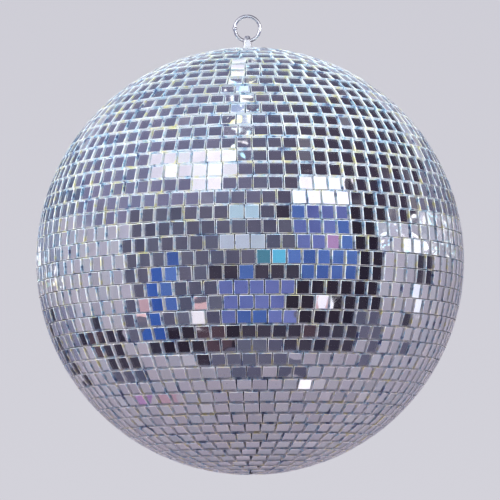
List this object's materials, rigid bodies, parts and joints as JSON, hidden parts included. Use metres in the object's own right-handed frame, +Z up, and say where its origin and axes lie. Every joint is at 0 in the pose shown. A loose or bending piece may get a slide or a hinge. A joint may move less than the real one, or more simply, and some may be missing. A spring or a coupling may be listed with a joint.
{
  "type": "mirror ball",
  "caption": "Round hollow mirror ball tiled with small square flat mirrors, hung by a loose round ring through a forged eye at its top.",
  "frame": {"origin": "the point on the hanging ring's inner edge, at its top, where a hook bears", "axes": "+Z up along the ball's axis, the ring's plane is XZ, and the eye's hole runs along X"},
  "size_m": [0.305, 0.305, 0.3305],
  "materials": {
    "mirror_glass": "silvered flat glass with cut edges",
    "bright_ring": "bright plated wire",
    "chrome_eye": "bright plated forging",
    "chrome_cap": "bright plated pressing",
    "steel_screws": "plated steel",
    "zinc_steel": "zinc plated steel",
    "core_plastic": "dark moulded plastic with adhesive on it",
    "plug_plastic": "moulded plastic"
  },
  "bodies": {
    "hanger": {"hang_ring": "bright_ring"},
    "ball": {"eye_bolt": "chrome_eye", "top_cap": "chrome_cap", "cap_screws": "steel_screws", "upper_core_shell": "core_plastic", "lower_core_shell": "core_plastic", "backing_plate": "zinc_steel", "plain_washer": "zinc_steel", "spring_washer": "zinc_steel", "hex_nut": "zinc_steel", "jam_nut": "zinc_steel", "bottom_plug": "plug_plastic", "mirror_row_equator": "mirror_glass", "mirror_row_upper_01": "mirror_glass", "mirror_row_upper_02": "mirror_glass", "mirror_row_upper_03": "mirror_glass", "mirror_row_upper_04": "mirror_glass", "mirror_row_upper_05": "mirror_glass", "mirror_row_upper_06": "mirror_glass", "mirror_row_upper_07": "mirror_glass", "mirror_row_upper_08": "mirror_glass", "mirror_row_upper_09": "mirror_glass", "mirror_row_upper_10": "mirror_glass", "mirror_row_upper_11": "mirror_glass", "mirror_row_upper_12": "mirror_glass", "mirror_row_upper_13": "mirror_glass", "mirror_row_upper_14": "mirror_glass", "mirror_row_upper_15": "mirror_glass", "mirror_row_upper_16": "mirror_glass", "mirror_row_upper_17": "mirror_glass", "mirror_row_upper_18": "mirror_glass", "mirror_row_upper_19": "mirror_glass", "mirror_row_upper_20": "mirror_glass", "mirror_row_upper_21": "mirror_glass", "mirror_row_lower_01": "mirror_glass", "mirror_row_lower_02": "mirror_glass", "mirror_row_lower_03": "mirror_glass", "mirror_row_lower_04": "mirror_glass", "mirror_row_lower_05": "mirror_glass", "mirror_row_lower_06": "mirror_glass", "mirror_row_lower_07": "mirror_glass", "mirror_row_lower_08": "mirror_glass", "mirror_row_lower_09": "mirror_glass", "mirror_row_lower_10": "mirror_glass", "mirror_row_lower_11": "mirror_glass", "mirror_row_lower_12": "mirror_glass", "mirror_row_lower_13": "mirror_glass", "mirror_row_lower_14": "mirror_glass", "mirror_row_lower_15": "mirror_glass", "mirror_row_lower_16": "mirror_glass", "mirror_row_lower_17": "mirror_glass", "mirror_row_lower_18": "mirror_glass", "mirror_row_lower_19": "mirror_glass", "mirror_row_lower_20": "mirror_glass", "mirror_row_lower_21": "mirror_glass", "mirror_row_lower_22": "mirror_glass"}
  },
  "joints": [
    {"name": "ball_swing", "type": "hinge", "parent": "hanger", "child": "ball", "pos_m": [0, 0, -0.01675], "axis": [1, 0, 0], "range_deg": [-30, 30]}
  ]
}
